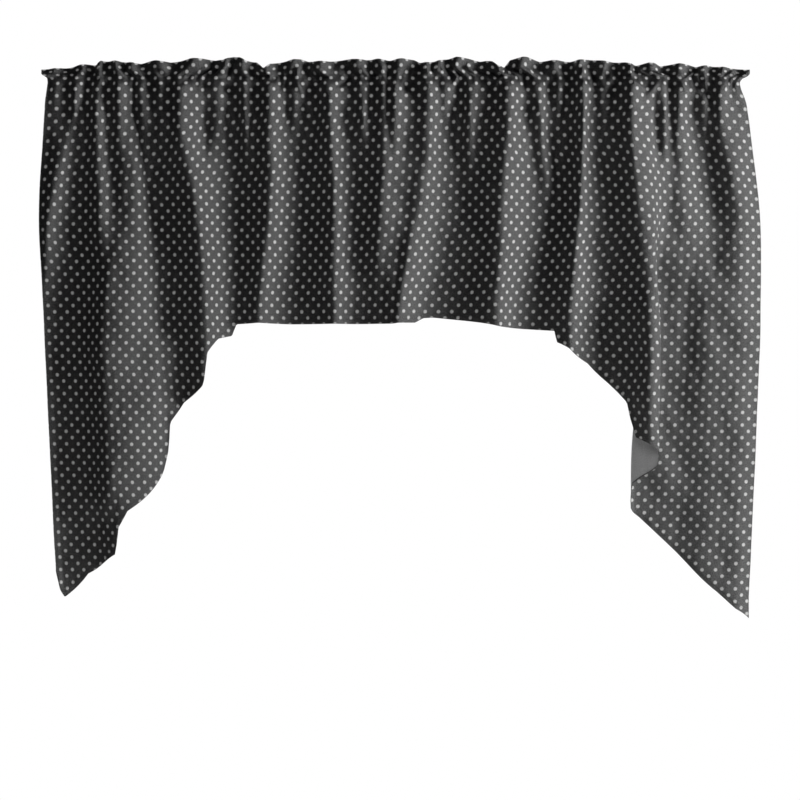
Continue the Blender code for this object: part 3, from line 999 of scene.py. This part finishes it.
@dataclass
class SkirtCloth(Sheet):
    """The gathered cloth under the pocket, with narrow hems turned to the back."""

    columns: int = 500
    rows: int = 86
    crowding: float = 1.15
    hem_width: float = 9.0
    hem_gap: float = 0.9
    hem_seam: float = 7.5
    hem_steps: tuple[float, ...] = (0.2, 0.45, 0.7, 1.0)
    fold_flat: float = 0.4
    turned_flat: float = 0.9
    edge_width: float = 1.3
    tucked_from: float = 19.05
    tucked_to: float = 20.1
    tucked_width: float = 1.5
    overlap: float = 0.4

    def drops(self, place: Columns) -> Array:
        """Return the drop of every point, columns by rows."""
        hem = self.drape.hem_drop(place.segment, place.part)
        top = LOWER_SEAM - self.overlap
        run = (np.arange(self.rows) / (self.rows - 1)) ** self.crowding
        above = top + (hem[:, None] - self.edge_width - top) * run[None, :]
        return np.concatenate([above, hem[:, None]], axis=1)

    def tucked(self, place: Columns) -> Array:
        """Return where the reverse of the cloth shows and the hem is too narrow to see."""
        return (place.place > self.tucked_from) & (place.place < self.tucked_to)

    def sew(self, thread: Stitches) -> None:
        """Sew the hem, with stitches on its face and on its turned back."""
        place = Columns.spaced(self.flat_map, 2 * self.columns)
        hem = self.drape.hem_drop(place.segment, place.part)
        line = hem[:, None] - self.hem_seam + BESIDE_SEAM[None, :]
        rows = place.surface(self.drape, line)
        outward = grid_normals(rows)[:, 1]
        middle = rows[:, 1]
        face = middle + outward * 0.5 * self.thickness
        back = middle - outward * (self.hem_gap + 0.5 * self.thickness)
        bare = np.flatnonzero(self.tucked(place))
        for part in (slice(None, bare[0]), slice(bare[-1] + 1, None)):
            thread.follow(face[part], outward[part])
            thread.follow(back[part], -outward[part])

    def build(self) -> bpy.types.Object:
        """Make the skirt's sheet.

        Returns:
            The finished piece.
        """
        place = Columns.spaced(self.flat_map, self.columns)
        drops = self.drops(place)
        points = place.surface(self.drape, drops)
        hem = drops[:, -1:]
        width = np.where(self.tucked(place), self.tucked_width, self.hem_width)[:, None]
        turned = hem - np.array(self.hem_steps)[None, :] * width
        inner = place.surface(self.drape, turned)
        behind = inner + grid_normals(inner) * self.hem_gap
        fold = points[:, -1:] - grid_normals(points)[:, -1:] * 0.5 * self.hem_gap
        points = np.concatenate([points, fold, behind], axis=1)
        down = [drops, hem + self.fold_flat, 2.0 * hem - turned + self.turned_flat]
        level = np.concatenate([drops, hem, turned], axis=1)
        places = np.repeat(place.place, points.shape[1])
        across = self.flat_map.across(places, level.ravel()).reshape(level.shape)
        flat = np.stack([across * MM, -np.concatenate(down, axis=1) * MM], axis=2)
        # The hem row and the fold row carry the painted shade line: no print there
        edge = np.zeros(points.shape[1])
        edge[self.rows : self.rows + 2] = 1.0
        return self.finish("skirt_cloth", points, flat, edge)


@dataclass
class HeadingCloth(Sheet):
    """The doubled frill and the open pocket, one cloth folded over to the back."""

    columns: int = 700
    front_rows: int = 41
    frill_rows: int = 10
    wall_rows: int = 13
    layer_gap: float = 1.1
    frill_open: float = 2.6
    wall_wrinkle: float = 1.1
    wall_overlap: float = 3.0
    wall_stretch: float = 1.12
    top_flat: float = 0.8

    def frill_layer(self, drop: Array) -> Array:
        """Return how far the frill's back layer lies behind its front layer."""
        run = np.clip(1.0 - drop / UPPER_SEAM, 0.0, 1.0)
        return self.layer_gap + self.frill_open * np.sin(math.pi * run) ** 2

    def sew(self, thread: Stitches) -> None:
        """Sew the two rows of the pocket, seen on both sides."""
        place = Columns.spaced(self.flat_map, 2 * self.columns)
        for seam in (UPPER_SEAM, LOWER_SEAM):
            rows = place.surface(self.drape, seam + BESIDE_SEAM)
            outward = grid_normals(rows)[:, 1]
            middle = rows[:, 1]
            thread.follow(middle + outward * 0.5 * self.thickness, outward)
            behind = middle + np.array([0.0, self.layer_gap, 0.0])
            thread.follow(behind - outward * 0.5 * self.thickness, -outward)

    def build(self) -> bpy.types.Object:
        """Make the heading's sheet.

        Returns:
            The finished piece.
        """
        place = Columns.spaced(self.flat_map, self.columns)
        front_drops = np.linspace(LOWER_SEAM, 0.0, self.front_rows)
        front = place.surface(self.drape, front_drops)
        frill_drops = np.linspace(0.0, UPPER_SEAM, self.frill_rows)
        frill = place.surface(self.drape, frill_drops)
        frill[:, :, 1] += self.frill_layer(frill_drops)[None, :]
        top = 0.5 * (front[:, -1:] + frill[:, :1])
        top[:, :, 2] += 0.5 * self.layer_gap
        wall_drops = np.linspace(UPPER_SEAM, LOWER_SEAM + self.wall_overlap, self.wall_rows)[1:]
        wall = self.back_wall(place, wall_drops)
        points = np.concatenate([front, top, frill, wall], axis=1)
        turned = -frill_drops - 2.0 * self.top_flat
        down = np.concatenate([front_drops, [-self.top_flat], turned, -wall_drops * self.wall_stretch])
        wall_level = np.full(len(wall_drops), LOWER_SEAM)
        level = np.concatenate([front_drops, [0.0], frill_drops, wall_level])
        columns = len(place.segment)
        places = np.repeat(place.place, len(level))
        across = self.flat_map.across(places, np.tile(level, columns)).reshape(columns, -1)
        shift = self.drape.frill_shift(front[:, 0, 0])
        across += shift[:, None] * self.drape.frill_share(level)[None, :]
        flat = np.stack([across * MM, np.tile(-down * MM, (columns, 1))], axis=2)
        edge = np.zeros(points.shape[1])
        return self.finish("heading_cloth", points[:, ::-1], flat[:, ::-1], edge)

    def back_wall(self, place: Columns, drops: Array) -> Array:
        """Return rows of the pocket's back wall, from the upper to the lower stitch row."""
        rows = place.surface(self.drape, drops)
        ends = place.surface(self.drape, np.array([UPPER_SEAM, LOWER_SEAM]))[:, :, 1] + self.layer_gap
        wave = self.drape.gather_wave(place.surface(self.drape, np.array([LOWER_SEAM]))[:, 0, 0])
        stops = [UPPER_SEAM, *[wall.drop for wall in BACK], LOWER_SEAM]
        for column in range(len(place.segment)):
            swing = [wall.bulge - wall.gather * wave[column] for wall in BACK]
            values = [ends[column, 0], *swing, ends[column, 1]]
            rows[column, :, 1] = Curve(stops, values).at(drops)
        x = rows[:, :, 0]
        level = np.broadcast_to(drops, x.shape)
        between = np.clip((drops - UPPER_SEAM) / (LOWER_SEAM - UPPER_SEAM), 0.0, 1.0)
        rows[:, :, 1] += self.wall_wrinkle * np.sin(math.pi * between) * WALL_RIPPLE.at(x, level)
        return rows


@dataclass(frozen=True)
class ThreadFinish:
    """Dark sewing thread, two plies twisted together."""

    dark: Colour = (0.006, 0.006, 0.0065)
    light: Colour = (0.030, 0.030, 0.031)
    roughness: float = 0.5
    ply_scale: float = 2600.0
    relief: float = 0.5
    relief_height: float = 0.0002

    def material(self) -> bpy.types.Material:
        """Build the material and return it."""
        material, graph = new_material("sewing_thread")
        plies = graph.noise(graph.add("ShaderNodeTexCoord").outputs["Object"], self.ply_scale, 2.0)
        colour = graph.blend(plies, (*self.dark, 1.0), (*self.light, 1.0))
        relief = {"Strength": self.relief, "Distance": self.relief_height, "Height": plies}
        bump = graph.add("ShaderNodeBump", relief)
        inputs = {"Base Color": colour, "Roughness": self.roughness, "Normal": bump.outputs[0]}
        shader = graph.add("ShaderNodeBsdfPrincipled", inputs)
        end = graph.add("ShaderNodeOutputMaterial")
        graph.link(shader.outputs[0], end.inputs[0])
        return material


@dataclass
class Stitches:
    """Rows of machine stitches, each stitch a short loop that dips into the cloth at both ends."""

    name: str
    finish: bpy.types.Material
    length: float = 3.0
    gap: float = 0.8
    radius: float = 0.24
    shares: tuple[float, ...] = (0.0, 0.2, 0.5, 0.8, 1.0)
    rises: tuple[float, ...] = (-1.2, 0.5, 0.9, 0.5, -1.2)
    loops: list[Array] = field(default_factory=list)

    def follow(self, path: Array, outward: Array) -> None:
        """Add a row of stitches.

        Args:
            path: points on the cloth's outer side, in millimetres.
            outward: the unit normal at each point.
        """
        run = np.concatenate([[0.0], np.cumsum(np.linalg.norm(np.diff(path, axis=0), axis=1))])
        step = self.length + self.gap
        shares = np.array(self.shares)
        rises = np.array(self.rises) * self.radius
        for start in np.arange(step, run[-1] - 2.0 * step, step):
            at = start + shares * self.length
            points, normals = (
                np.stack([np.interp(at, run, values[:, axis]) for axis in range(3)], axis=1)
                for values in (path, outward)
            )
            self.loops.append(points + normals * rises[:, None])

    def build(self) -> bpy.types.Object:
        """Make the thread.

        Returns:
            The finished piece.
        """
        bpy.ops.object.select_all(action="DESELECT")
        bpy.ops.curve.primitive_nurbs_path_add()
        piece = bpy.context.object
        piece.name = self.name
        curve = piece.data
        curve.splines.clear()
        for loop in self.loops:
            spline = curve.splines.new("POLY")
            spline.points.add(len(loop) - 1)
            rows = np.concatenate([loop * MM, np.ones((len(loop), 1))], axis=1)
            spline.points.foreach_set("co", rows.ravel())
        curve.dimensions = "3D"
        curve.bevel_depth = self.radius * MM
        curve.bevel_resolution = 1
        curve.use_fill_caps = True
        bpy.ops.object.convert(target="MESH")
        piece = bpy.context.object
        piece.data.name = self.name
        piece.data.materials.clear()
        piece.data.materials.append(self.finish)
        bpy.ops.object.shade_smooth_by_angle(angle=SMOOTH_ANGLE)
        return piece


@dataclass(frozen=True)
class Camera:
    """The camera, level with the middle of the valance as in a catalogue view."""

    distance: float = 3.8
    frame_width: float = 1.36
    middle: tuple[float, float] = (0.0034, -0.578)
    sensor: float = 36.0

    def build(self) -> None:
        """Add the camera and make it the scene's own."""
        data = bpy.data.cameras.new("camera")
        data.sensor_width = self.sensor
        data.lens = self.sensor * self.distance / self.frame_width
        camera = bpy.data.objects.new("camera", data)
        camera.location = (self.middle[0], -self.distance, self.middle[1])
        camera.rotation_euler = (math.radians(90.0), 0.0, 0.0)
        bpy.context.collection.objects.link(camera)
        bpy.context.scene.camera = camera


@dataclass(frozen=True)
class Lamp:
    """A soft studio lamp: its place, what it looks at, its size and its power."""

    name: str
    place: tuple[float, float, float]
    target: tuple[float, float, float]
    size: tuple[float, float]
    power: float
    shines_on_gloss: bool = True

    def build(self) -> None:
        """Add the lamp."""
        data = bpy.data.lights.new(self.name, "AREA")
        data.shape = "RECTANGLE"
        data.size, data.size_y = self.size
        data.energy = self.power
        lamp = bpy.data.objects.new(self.name, data)
        lamp.location = self.place
        aim = Vector(self.target) - Vector(self.place)
        lamp.rotation_euler = aim.to_track_quat("-Z", "Y").to_euler()
        lamp.visible_glossy = self.shines_on_gloss
        bpy.context.collection.objects.link(lamp)


LAMPS = (
    Lamp("key", (3.35, -1.15, 0.2), target=(0.1, 0.0, -0.45), size=(1.2, 1.7), power=118.0),
    Lamp("fill", (0.0, -3.2, 1.9), (0.0, 0.0, -0.4), (3.0, 2.0), power=46.0, shines_on_gloss=False),
    Lamp("back", (-0.6, 2.6, 0.6), target=(0.0, 0.0, -0.4), size=(2.2, 2.2), power=50.0),
)


@dataclass(frozen=True)
class Studio:
    """The pale floor, the white surround, the lamps and the camera."""

    floor_drop: float = 1.50
    floor_radius: float = 1.30
    floor_colour: Colour = (0.85, 0.85, 0.84)
    floor_roughness: float = 0.8
    surround: float = 0.10
    glossy_cut: float = 0.8

    def build(self) -> None:
        """Set up the studio."""
        self.floor()
        self.sky()
        Camera().build()
        for lamp in LAMPS:
            lamp.build()

    def floor(self) -> None:
        """Add a round pale floor under the valance."""
        bpy.ops.object.select_all(action="DESELECT")
        place = (0.0, 0.0, -self.floor_drop)
        bpy.ops.mesh.primitive_circle_add(
            vertices=96, radius=self.floor_radius, fill_type="NGON", location=place
        )
        floor = bpy.context.object
        floor.name = "floor"
        material = bpy.data.materials.new("pale_floor")
        material.use_nodes = True
        shader = material.node_tree.nodes["Principled BSDF"]
        shader.inputs["Base Color"].default_value = (*self.floor_colour, 1.0)
        shader.inputs["Roughness"].default_value = self.floor_roughness
        floor.data.materials.append(material)

    def sky(self) -> None:
        """Make the surround white to the camera and dim to everything else."""
        world = bpy.data.worlds.new("surround")
        world.use_nodes = True
        world.node_tree.nodes.clear()
        graph = Graph(world.node_tree)
        path = graph.add("ShaderNodeLightPath")
        pale = {"Color": (1.0, 1.0, 1.0, 1.0)}
        white = graph.add("ShaderNodeBackground", {**pale, "Strength": 1.0})
        cut = -self.glossy_cut * self.surround
        soft = graph.math("MULTIPLY_ADD", path.outputs["Is Glossy Ray"], cut, self.surround)
        dim = graph.add("ShaderNodeBackground", {**pale, "Strength": soft})
        mix = graph.add("ShaderNodeMixShader", {0: path.outputs["Is Camera Ray"]})
        graph.link(dim.outputs[0], mix.inputs[1])
        graph.link(white.outputs[0], mix.inputs[2])
        end = graph.add("ShaderNodeOutputWorld")
        graph.link(mix.outputs[0], end.inputs[0])
        bpy.context.scene.world = world
        bpy.context.scene.view_settings.view_transform = "Standard"
        bpy.context.scene.view_settings.look = "None"


def main() -> None:
    """Build the valance and its studio."""
    logging.basicConfig(level=logging.INFO, format="%(name)s: %(message)s")
    drape = Drape()
    flat_map = FlatMap(drape)
    weave = PlainWeave().group()
    dots = DotPrint().group()
    finishes = [finish.material(dots, weave) for finish in (FACE_FINISH, BACK_FINISH)]
    thread_finish = ThreadFinish().material()
    for cloth, node, flat, area in (
        (SkirtCloth(drape, flat_map, finishes), "skirt", (CLOTH_WIDTH, SKIRT_LENGTH), SKIRT_AREA),
        (HeadingCloth(drape, flat_map, finishes), "heading", (CLOTH_WIDTH, HEADING_LENGTH), None),
    ):
        piece = cloth.build()
        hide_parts(node)
        thread = Stitches(f"{node}_thread", thread_finish)
        cloth.sew(thread)
        for made in (piece, thread.build()):
            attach(made, "root")
            LOG.info("%s: %d faces", made.name, len(made.data.polygons))
    Studio().build()


if __name__ == "__main__":
    main()
